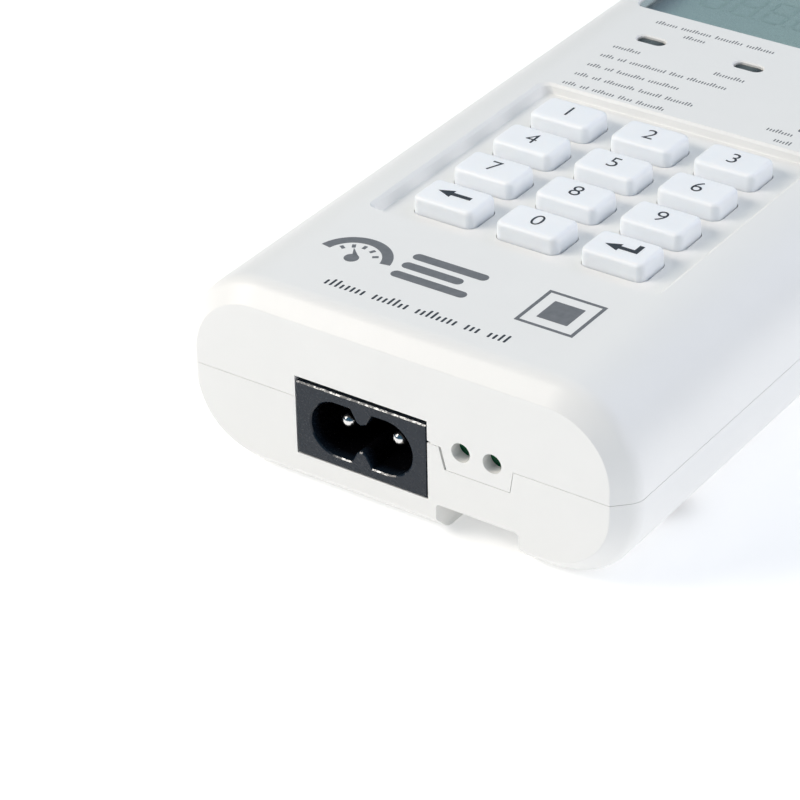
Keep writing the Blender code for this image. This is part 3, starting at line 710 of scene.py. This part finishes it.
def rear_shell():
    """Lower shell, with the wire channel, the battery bay and the lip behind the seam."""
    floor = WALL / 2
    tub_x = (-BAY_HALF_WIDTH - BAY_WALL, BAY_HALF_WIDTH + BAY_WALL)
    tub = block(tub_x, (end(BAY_Y[0] - BAY_WALL), end(LENGTH - 4.5)), (floor, BAY_CEILING_Z + BAY_WALL))
    bosses = [boss(x, y, REAR_BOSS_RADIUS, SEAM_Z - SEAM_GAP / 2, False) for x, y in screw_places()]
    bay_x = (-BAY_HALF_WIDTH, BAY_HALF_WIDTH)
    bay = block(bay_x, (end(BAY_Y[0]), end(BAY_Y[1])), (-FAR, BAY_CEILING_Z))
    latch_pocket = block(bay_x, (end(BAY_Y[1] + BAY_WALL), end(LENGTH - 6.0)), (-FAR, DOOR_END_Z))
    hole_z = (SCREW_SEAT_Z - FAR, SEAM_Z + FAR)
    holes = [cylinder(SCREW_HOLE_RADIUS, hole_z, place) for place in screw_places()]
    bores = [cylinder(COUNTERBORE_RADIUS, (-FAR, SCREW_SEAT_Z), place) for place in screw_places()]
    wire_holes = []
    for i in (1, 2):
        roof = (CHANNEL_ROOF_Z - FAR, CHANNEL_ROOF_Z + WALL + FAR)
        place = (centre_of(f"clamp_screw_{i}").x, end(WIRE_HOLE_Y))
        wire_holes.append(cylinder(WIRE_HOLE_RADIUS, roof, place))
    band_round = lip_ring((SEAM_Z - 2.0, SEAM_Z + 1.3), WALL + 0.02, LIP_INSET)
    lip = carved_shape(band_round, [("DIFFERENCE", tongue_room())])
    size, middle = (CHANNEL_X[1] - CHANNEL_X[0], 2 * CHANNEL_ROOF_Z), (sum(CHANNEL_X) / 2, 0.0)
    mouth = rounded_rectangle(*size, CHANNEL_CORNER, 6, middle)
    channel = loft([[(x, end(y), z) for x, z in mouth] for y in (-FAR, CHANNEL_DEPTH)])
    steps = [
        ("DIFFERENCE", seam_side(-SEAM_GAP / 2, THICKNESS + FAR)),
        ("DIFFERENCE", case_inside()),
        ("UNION", lip),
        ("UNION", tub),
        ("UNION", channel_hood(floor)),
        ("UNION", several(bosses)),
        ("DIFFERENCE", channel),
        ("DIFFERENCE", several([bay, latch_pocket])),
        ("DIFFERENCE", door_space(0.2)),
        ("DIFFERENCE", inlet_window()),
        ("DIFFERENCE", several(holes + wire_holes)),
        ("DIFFERENCE", several(bores)),
    ]
    shell = carved("rear_shell", case_outside(), steps)
    soften(shell)
    finished(shell, case_plastic, "case", ["rear_case"])


def door():
    """Battery door with a band of grip ribs near the end."""
    ribs = []
    for i in range(7):
        y = end(130.0 + 1.8 * i)
        reach = 9.0 - 0.35 * abs(i - 3) ** 1.5
        outline = rounded_rectangle(2 * reach, 0.9, 0.44, 6, (0.0, y))
        ribs.append(loft([[(x, py, z) for x, py in outline] for z in (-FAR, 0.45)]))
    steps = [
        ("INTERSECT", case_outside()),
        ("DIFFERENCE", case_inside()),
        ("DIFFERENCE", several(ribs)),
    ]
    plate = block((-DOOR_HALF_WIDTH, DOOR_HALF_WIDTH), (end(DOOR_Y), end(LENGTH + FAR)), (-FAR, DOOR_END_Z))
    panel = carved("battery_door_panel", plate, steps)
    soften(panel, 0.12)
    finished(panel, case_plastic, "battery_door", ["battery_door"])


# ---------------------------------------------------------------- keys and their legends


KEY_EDGE = 0.75
KEY_DRAFT = 0.06
LEGEND_LIFT = 0.002


def key_shape(size, base_z, top_z, centre):
    """Soft key: slight draft, a generous round edge and a flat top."""
    levels = [(base_z, 0.0), (top_z - KEY_EDGE - 0.6, -KEY_DRAFT / 3), (top_z - KEY_EDGE, -KEY_DRAFT)]
    steps = 8
    for i in range(1, steps + 1):
        angle = math.pi / 2 * i / steps
        level = top_z - KEY_EDGE * (1 - math.sin(angle))
        levels.append((level, -KEY_DRAFT - KEY_EDGE * (1 - math.cos(angle))))
    return stack(size, 1.25, levels, centre, 10)


def arrow(centre, reach, rise=0.0):
    """Outline of an arrow that points to -X, whose tail may turn up to +Y."""
    x, y = centre
    head, shaft = 2.4, 0.8
    tip, tail, neck = x - reach / 2, x + reach / 2, x - reach / 2 + head
    half, thin = head * 0.42, shaft / 2
    under = [(tip, y), (neck, y - half), (neck, y - thin), (tail, y - thin)]
    if rise:
        under += [(tail, y + rise), (tail - shaft, y + rise), (tail - shaft, y + thin)]
    else:
        under.append((tail, y + thin))
    return under + [(neck, y + thin), (neck, y + half)]


def numeral(text, size, centre, z, thin):
    """Printed digit with its strokes thinned a little, as a bmesh in millimetres."""
    curve = bpy.data.curves.new("numeral", "FONT")
    curve.body = text
    curve.size = size
    curve.offset = -thin
    curve.resolution_u = 6
    curve.fill_mode = "FRONT"
    obj = bpy.data.objects.new("numeral", curve)
    bpy.context.scene.collection.objects.link(obj)
    bpy.context.view_layer.update()
    mesh = bpy.data.meshes.new_from_object(obj.evaluated_get(bpy.context.evaluated_depsgraph_get()))
    bpy.data.objects.remove(obj, do_unlink=True)
    bpy.data.curves.remove(curve)
    bm = bmesh.new()
    bm.from_mesh(mesh)
    bpy.data.meshes.remove(mesh)
    bmesh.ops.remove_doubles(bm, verts=bm.verts, dist=0.0005)
    lifted = bmesh.ops.extrude_face_region(bm, geom=bm.faces[:])
    upper = [v for v in lifted["geom"] if isinstance(v, bmesh.types.BMVert)]
    bmesh.ops.translate(bm, vec=(0, 0, PRINT_THICKNESS), verts=upper)
    xs, ys = [v.co.x for v in bm.verts], [v.co.y for v in bm.verts]
    middle = Vector(((min(xs) + max(xs)) / 2, (min(ys) + max(ys)) / 2, 0.0))
    bmesh.ops.translate(bm, vec=Vector((*centre, z)) - middle, verts=bm.verts)
    return bm


def keys():
    for key in KEYS:
        node = f"key_{key}"
        low, high = limits(node)
        centre = ((low.x + high.x) / 2, (low.y + high.y) / 2)
        cap = to_object(f"cap_{key}", key_shape(size_of(node), low.z, high.z, centre))
        soften(cap)
        finished(cap, key_rubber, node, [node])
        x, y, z = centre[0], centre[1] + 0.15, high.z + LEGEND_LIFT
        if key == "back":
            shape = flat(arrow((x, y), 5.6), z)
        elif key == "enter":
            shape = flat(arrow((x, y - 0.5), 5.4, 1.9), z)
        else:
            shape = numeral(key, 4.1, (x, y), z, 0.03)
        legend = to_object(f"legend_{key}", shape)
        finished(legend, legend_ink, node)


# ---------------------------------------------------------------- print on the front


PRINT_Z = TOP + 0.003


TICK_HEIGHTS = (1.0, 0.66, 0.72, 0.6, 0.95, 0.66, 0.7)


def dash_words(start_x, y, words, height):
    """Row of fine upright ticks in groups, in place of a line of small print."""
    ticks = []
    x, stroke, pitch = start_x, 0.19 * height, 0.45 * height
    for number, count in enumerate(words):
        for i in range(count):
            tall = height * TICK_HEIGHTS[(i * 3 + number * 2 + count) % len(TICK_HEIGHTS)]
            place = (x + stroke / 2, y + (tall - height) / 2)
            ticks.append(flat(rounded_rectangle(stroke, tall, stroke / 3, 2, place), PRINT_Z))
            x += pitch
        x += 0.6 * height
    return ticks


def fine_print():
    """Rows of ticks for the instructions and captions, each (x, y, ticks in each group), and a small mark."""
    rows = [
        (-21.3, 76.7, (5, 3, 8, 5, 10)),
        (-21.3, 80.2, (5, 3, 11, 8, 10)),
        (-21.3, 83.9, (5, 3, 10, 11)),
        (-21.3, 87.7, (5, 3, 13, 5, 14)),
        (-21.2, 91.3, (10,)),
        (-3.2, 91.3, (11,)),
        (14.4, 91.3, (10,)),
        (-20.0, 102.3, (8, 11, 10, 10)),
        (-13.6, 99.9, (8,)),
        (12.6, 79.6, (9,)),
        (15.2, 77.0, (6,)),
    ]
    ticks = []
    for x, y, words in rows:
        ticks += dash_words(x, end(y), words, 1.1)
    ticks.append(flat(rounded_rectangle(1.3, 2.6, 0.3, 3, (17.4, end(82.4))), PRINT_Z))
    obj = to_object("fine_print", several(ticks))
    finished(obj, fine_ink)


def ring_outline(centre, radius, start, stop, steps=40):
    return [
        (centre[0] + radius * math.cos(a), centre[1] + radius * math.sin(a))
        for a in [math.radians(start + (stop - start) * i / steps) for i in range(steps + 1)]
    ]


def front_mark():
    """Generic mark: a dial arc with a needle, and three bars beside it."""
    centre = (-17.2, end(14.6))
    outer_arc, inner_arc = [ring_outline(centre, radius, 10, 170) for radius in (5.9, 4.3)]
    shapes = [flat(outer_arc + inner_arc[::-1], PRINT_Z)]
    for angle in (35, 63, 91, 119, 147):
        a = math.radians(angle)
        side = Vector((-math.sin(a), math.cos(a))) * 0.28
        inner = Vector((math.cos(a), math.sin(a))) * 2.9
        outer = Vector((math.cos(a), math.sin(a))) * 3.8
        corners = [inner - side, outer - side, outer + side, inner + side]
        shapes.append(flat([(centre[0] + c.x, centre[1] + c.y) for c in corners], PRINT_Z))
    hub = ring_outline(centre, 1.1, 0, 360, 24)[:-1]
    shapes.append(flat(hub, PRINT_Z))
    a = math.radians(118)
    tip = (centre[0] + 2.9 * math.cos(a), centre[1] + 2.9 * math.sin(a))
    foot = [(centre[0] + 0.35, centre[1] + 1.05), (centre[0] - 0.5, centre[1] + 0.98)]
    shapes.append(flat([tip] + foot, PRINT_Z))
    for i, length in enumerate((12.4, 10.0, 12.4)):
        y = end(14.3 + i * 2.75)
        outline = rounded_rectangle(length, 1.7, 0.84, 6, (-10.2 + length / 2, y))
        shapes.append(flat(outline, PRINT_Z))
    obj = to_object("front_mark", several(shapes))
    finished(obj, mark_ink)


def front_rule():
    """Line of small ticks under the mark, where a line of print would be."""
    obj = to_object("front_rule", several(dash_words(-16.4, end(7.7), (8, 7, 8, 3, 4), 1.9)))
    finished(obj, legend_ink)


def insulation_badge():
    """Generic double-insulation symbol: one square inside another."""
    x, y = 15.6, end(17.3)
    outer, inner, line = 9.3, 4.9, 0.55
    reach, bar = outer / 2 - line / 2, outer - 2 * line - 0.02
    shapes = []
    for side in (-1, 1):
        shapes.append(flat(rounded_rectangle(line, outer, 0.05, 2, (x + side * reach, y)), PRINT_Z))
        shapes.append(flat(rounded_rectangle(bar, line, 0.05, 2, (x, y + side * reach)), PRINT_Z))
    shapes.append(flat(rounded_rectangle(inner, inner, 0.15, 3, (x, y)), PRINT_Z))
    obj = to_object("insulation_badge", several(shapes))
    finished(obj, mark_ink)


# ---------------------------------------------------------------- display and indicators


def display():
    _, high = limits("display_window")
    size = (2 * DISPLAY_HALF_WIDTH - 0.3, DISPLAY_Y[1] - DISPLAY_Y[0] - 0.3)
    centre = (0.0, end((DISPLAY_Y[0] + DISPLAY_Y[1]) / 2))
    levels = [(high.z - 1.2, 0.0), (high.z - 0.15, 0.0), (high.z - 0.04, -0.05), (high.z, -0.15)]
    pane = to_object("display_pane", stack(size, 1.9, levels, centre, 10))
    soften(pane)
    finished(pane, clear_pane(), "case", ["display_window"])
    assign(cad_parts["lcd_glass"], lcd_panel())
    segments()


def segments():
    """Eight unlit seven-segment digits, faint on the display."""
    _, high = limits("lcd_glass")
    z, thickness = high.z + 0.02, 0.01
    shapes = []
    w, h, pitch, thick = 3.6, 7.4, 5.6, 0.62
    cy = end(121.5)
    for digit in range(8):
        cx = (digit - 3.5) * pitch
        bars = [((cx, cy + k * h / 2), (w - 0.9, thick)) for k in (-1, 0, 1)]
        for sx in (-1, 1):
            for sy in (-1, 1):
                bars.append(((cx + sx * w / 2, cy + sy * h / 4), (thick, h / 2 - 0.5)))
        for place, bar in bars:
            shapes.append(flat(rounded_rectangle(*bar, 0.28, 3, place), z, thickness))
        point = ring_outline((cx + w / 2 + 0.85, cy - h / 2), 0.32, 0, 360, 12)[:-1]
        shapes.append(flat(point, z, thickness))
    obj = to_object("lcd_segments", several(shapes))
    m = Nodes("lcd_segments")
    cell = m.noise(400.0)
    m.colour(m.ramp(cell, ((0.3, (0.27, 0.36, 0.345)), (0.7, (0.29, 0.38, 0.36)))))
    m.roughness(cell, 0.3, 0.4)
    finished(obj, m.material)


def smoked(centre_x):
    """Smoked light pipe: nearly black at its ends, grey-green over the lamp in its middle."""
    m = Nodes("smoked_window")
    m.set(IOR=1.5)
    split = m.add("ShaderNodeSeparateXYZ")
    m.link(m.coords, split.inputs["Vector"])
    offset = m.add("ShaderNodeMath", operation="SUBTRACT")
    offset.inputs[1].default_value = centre_x * MM
    m.link(split.outputs["X"], offset.inputs[0])
    away = m.add("ShaderNodeMath", operation="ABSOLUTE")
    m.link(offset.outputs["Value"], away.inputs[0])
    across = m.spread(away.outputs["Value"], 0.0, 1.0, (0.0, 0.0024))
    tint = ((0.0, (0.07, 0.085, 0.085)), (0.45, (0.045, 0.055, 0.056)), (0.75, (0.008, 0.011, 0.013)))
    m.colour(m.ramp(across, tint))
    cloud = m.noise(900.0)
    m.roughness(cloud, 0.25, 0.4)
    m.relief(cloud, 0.00001)
    return m.material


def indicators():
    for place in STATUS:
        node = f"indicator_window_{place}"
        low, high = limits(node)
        middle = centre_of(node)
        size = size_of(node)
        levels = [(low.z, 0.0), (high.z - 0.3, 0.0), (high.z - 0.08, -0.08), (high.z, -0.3)]
        shape = stack(size, size[1] / 2 - 0.01, levels, middle[:2], 10)
        pipe = to_object(f"light_pipe_{place}", shape)
        soften(pipe)
        finished(pipe, smoked(middle.x), "case", [node])


# ---------------------------------------------------------------- connector end


SOCKET_Z = 11.7
PIN_RADIUS = 1.18
PIN_BORE_RADIUS = 1.48
FACE_X, FACE_Z = (-16.72, 4.88), (6.02, 17.65)


def socket_outline():
    """Figure 8 in X and Z: two round ends, joined by flats that a rounded V pulls in at the middle."""
    radius, centre, waist, steps = 4.3, 4.2, 2.2, 26
    notch = [(1.75, radius)]
    for x, rise in ((1.05, 0.75), (0.85, 0.42), (0.6, 0.16), (0.3, 0.03)):
        notch.append((x, waist + rise))
    points = []
    for side in (1, -1):
        for i in range(steps + 1):
            angle = math.pi * (i / steps - 0.5) * side
            points.append((side * (centre + radius * math.cos(angle)), radius * math.sin(angle)))
        points += [(x * side, z * side) for x, z in notch]
        points.append((0.0, waist * side))
        points += [(-x * side, z * side) for x, z in reversed(notch)]
    middle = (limits("inlet_pin_left")[0].x + limits("inlet_pin_right")[1].x) / 2
    return [(middle + x, SOCKET_Z + z) for x, z in points]


def offset_outline(points, distance):
    """Closed outline in X and Z moved outwards along the mean normal at each point."""
    moved = []
    for i, (x, z) in enumerate(points):
        before, after = Vector(points[i - 1]), Vector(points[(i + 1) % len(points)])
        along = (after - before).normalized()
        moved.append((x + along.y * distance, z - along.x * distance))
    return moved


def flared_socket(depth, flare):
    """Figure-8 hole whose rim on the face has a small chamfer."""
    outline = socket_outline()
    levels = ((-FAR, flare), (0.0, flare), (flare, 0.0), (depth, 0.0))
    return loft([[(x, end(y), z) for x, z in offset_outline(outline, margin)] for y, margin in levels])


def inlet_face(x, z, depth, chamfer):
    """Front plate with a chamfer along its top edge."""
    side = ((0.0, z[0]), (0.0, z[1] - chamfer), (chamfer, z[1]), (depth, z[1]), (depth, z[0]))
    return loft([[(px, end(y), pz) for y, pz in side] for px in x])


def inlet():
    """Inlet: chamfered face, flange behind the case wall, body with the figure-8 socket, and two pins."""
    low, high = limits("inlet_housing")
    bores = []
    for place in ("left", "right"):
        middle = centre_of(f"inlet_pin_{place}")
        bores.append(cylinder(PIN_BORE_RADIUS, (end(11.0), high.y + FAR), (middle.x, SOCKET_Z), "Y"))
    steps = [
        ("UNION", block((low.x, high.x - 0.3), (end(2.3), end(4.3)), (6.4, high.z))),
        ("UNION", block((FACE_X[0] + 0.4, FACE_X[1] - 0.6), (end(3.5), high.y), (6.6, 17.2))),
        ("DIFFERENCE", flared_socket(12.0, 0.18)),
        ("DIFFERENCE", several(bores)),
    ]
    housing = carved("inlet_body", inlet_face(FACE_X, FACE_Z, 3.0, 0.2), steps)
    soften(housing)
    finished(housing, inlet_plastic, "case", ["inlet_housing"])
    for place in ("left", "right"):
        node = f"inlet_pin_{place}"
        pin_low, pin_high = limits(node)
        profile = [(PIN_RADIUS, -(pin_high.y - pin_low.y))]
        for i in range(12):
            angle = math.pi / 2 * i / 11 * 0.985  # stops just short of the pin's axis
            profile.append((PIN_RADIUS * math.cos(angle), PIN_RADIUS * (math.sin(angle) - 1)))
        shape = turned(profile, 48)
        tip = Matrix.Translation((centre_of(node).x, pin_low.y, SOCKET_Z))
        shape.transform(tip @ Matrix.Rotation(math.pi / 2, 4, "X"))
        pin = to_object(f"contact_pin_{place}", shape)
        soften(pin)
        finished(pin, pin_metal, "case", [node])


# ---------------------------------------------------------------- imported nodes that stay


def carried_over():
    """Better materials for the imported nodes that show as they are, mostly inside the case."""
    black = moulded("component_plastic", (0.035, 0.035, 0.038), 0.45, 0.0002, 0.00001, 0.1)
    white = moulded("white_plastic", (0.78, 0.78, 0.76), 0.4)
    green = moulded("terminal_plastic", (0.025, 0.24, 0.1), 0.4, 0.0003, 0.00001, 0.05)
    looks = {
        "main_board": lacquered_board(),
        "terminal_block": green,
        "keypad_mat": key_rubber,
        "lcd_frame": white,
        "lcd_backlight": white,
        "display_connector_strip": moulded("conductive_rubber", (0.04, 0.04, 0.04), 0.7),
        "transformer_core": moulded("ferrite", (0.06, 0.06, 0.065), 0.55, 0.0004, 0.00003, 0.1),
        "transformer_winding": moulded("winding_tape", (0.72, 0.52, 0.08), 0.3, 0.0008),
        "suppression_capacitor": moulded("capacitor_case", (0.68, 0.54, 0.16), 0.4),
        "coupling_transformer": black,
        "smoothing_capacitor": moulded("aluminium_can", (0.05, 0.055, 0.09), 0.3),
        "buzzer": black,
        "microcontroller": black,
        "surge_varistor": moulded("varistor_epoxy", (0.05, 0.15, 0.45), 0.3),
        "mains_fuse": moulded("fuse_glass", (0.62, 0.65, 0.63), 0.12),
    }
    led = moulded("led_body", (0.7, 0.5, 0.25), 0.2)
    jacket = moulded("cell_jacket", (0.07, 0.08, 0.1), 0.28)
    for name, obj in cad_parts.items():
        if name.startswith("indicator_led"):
            looks[name] = led
        elif name.startswith("cell_"):
            looks[name] = jacket
        elif name.startswith("contact_"):
            looks[name] = pin_metal
        elif name.startswith(("case_screw", "clamp_screw")):
            looks[name] = steel
        if name in looks:
            assign(obj, looks[name])
            smooth_faces(obj.data)


# ---------------------------------------------------------------- floor, light and camera


def stage():
    """Pale floor that glows faintly, so that it stays white under the object."""
    bm = bmesh.new()
    bmesh.ops.create_grid(bm, x_segments=1, y_segments=1, size=3.0)
    mesh = bpy.data.meshes.new("floor")
    bm.to_mesh(mesh)
    bm.free()
    floor = bpy.data.objects.new("floor", mesh)
    floor.location.z = -0.0001
    bpy.context.scene.collection.objects.link(floor)
    m = Nodes("floor")
    m.set(Base_Color=(0.9, 0.9, 0.9, 1.0), Roughness=0.9)
    m.set(Emission_Color=(1.0, 1.0, 1.0, 1.0), Emission_Strength=0.3)
    mesh.materials.append(m.material)


def softbox(name, azimuth, elevation, distance, size, power, colour):
    """Rectangular light aimed at the object. Azimuth 0 stands at -Y and 90 at +X."""
    a, e = math.radians(azimuth), math.radians(elevation)
    out = Vector((math.sin(a) * math.cos(e), -math.cos(a) * math.cos(e), math.sin(e)))
    light = bpy.data.lights.new(name, "AREA")
    light.shape = "RECTANGLE"
    light.size, light.size_y = size
    light.energy = power
    light.color = colour
    obj = bpy.data.objects.new(name, light)
    target = Vector((0.0, END_Y * MM / 2, THICKNESS * MM / 2))
    obj.location = target + out * distance
    obj.rotation_euler = out.to_track_quat("Z", "Y").to_euler()
    bpy.context.scene.collection.objects.link(obj)


def lights():
    """Wide softbox at the front left, a warm one and a tiny one beside it, and fill all round."""
    softbox("key_light", -46, 35, 1.0, (0.55, 0.55), 4.9, (1.0, 0.945, 0.865))
    softbox("warm_light", -62, 33, 1.0, (0.3, 0.3), 2.5, (1.0, 0.89, 0.8))
    softbox("glint_light", -41.6, 42.1, 0.99, (0.08, 0.08), 0.7, (1.0, 0.96, 0.9))
    softbox("right_light", 95, 20, 1.0, (0.8, 0.4), 3.1, (1.0, 0.955, 0.955))
    softbox("back_right_light", 145, 35, 1.1, (0.8, 0.6), 3.3, (0.925, 0.92, 1.0))
    softbox("back_left_light", 205, 40, 1.1, (1.2, 0.7), 1.4, (0.82, 0.97, 1.0))
    softbox("top_light", 0, 88, 1.0, (0.8, 0.8), 2.2, (1.0, 0.925, 0.88))
    world = bpy.data.worlds.new("studio")
    world.use_nodes = True
    background = world.node_tree.nodes["Background"]
    background.inputs["Color"].default_value = (0.2, 0.6, 1.0, 1.0)
    background.inputs["Strength"].default_value = 0.15
    bpy.context.scene.world = world


def camera():
    """Looks down on the connector end from the right, slightly rolled, through a long lens."""
    azimuth, elevation, roll = math.radians(35.26), math.radians(31.92), math.radians(-1.41)
    flat_reach = math.cos(elevation)
    back = Vector((math.sin(azimuth) * flat_reach, -math.cos(azimuth) * flat_reach, math.sin(elevation)))
    data = bpy.data.cameras.new("camera")
    data.lens, data.sensor_width = 151.43, 36.0
    data.clip_start, data.clip_end = 0.01, 20.0
    obj = bpy.data.objects.new("camera", data)
    obj.location = Vector((223.88, end(-315.5), 261.05)) * MM
    obj.rotation_mode = "QUATERNION"
    obj.rotation_quaternion = (-back).to_track_quat("-Z", "Y")
    bpy.context.scene.collection.objects.link(obj)
    bpy.context.view_layer.update()
    obj.rotation_quaternion = obj.rotation_quaternion @ Matrix.Rotation(roll, 3, "Z").to_quaternion()
    bpy.context.scene.camera = obj


camera()
stage()
lights()
front_shell()
rear_shell()
door()
keys()
fine_print()
front_mark()
front_rule()
insulation_badge()
display()
indicators()
inlet()
carried_over()
bpy.context.scene.view_settings.view_transform = "Standard"

bpy.context.view_layer.update()
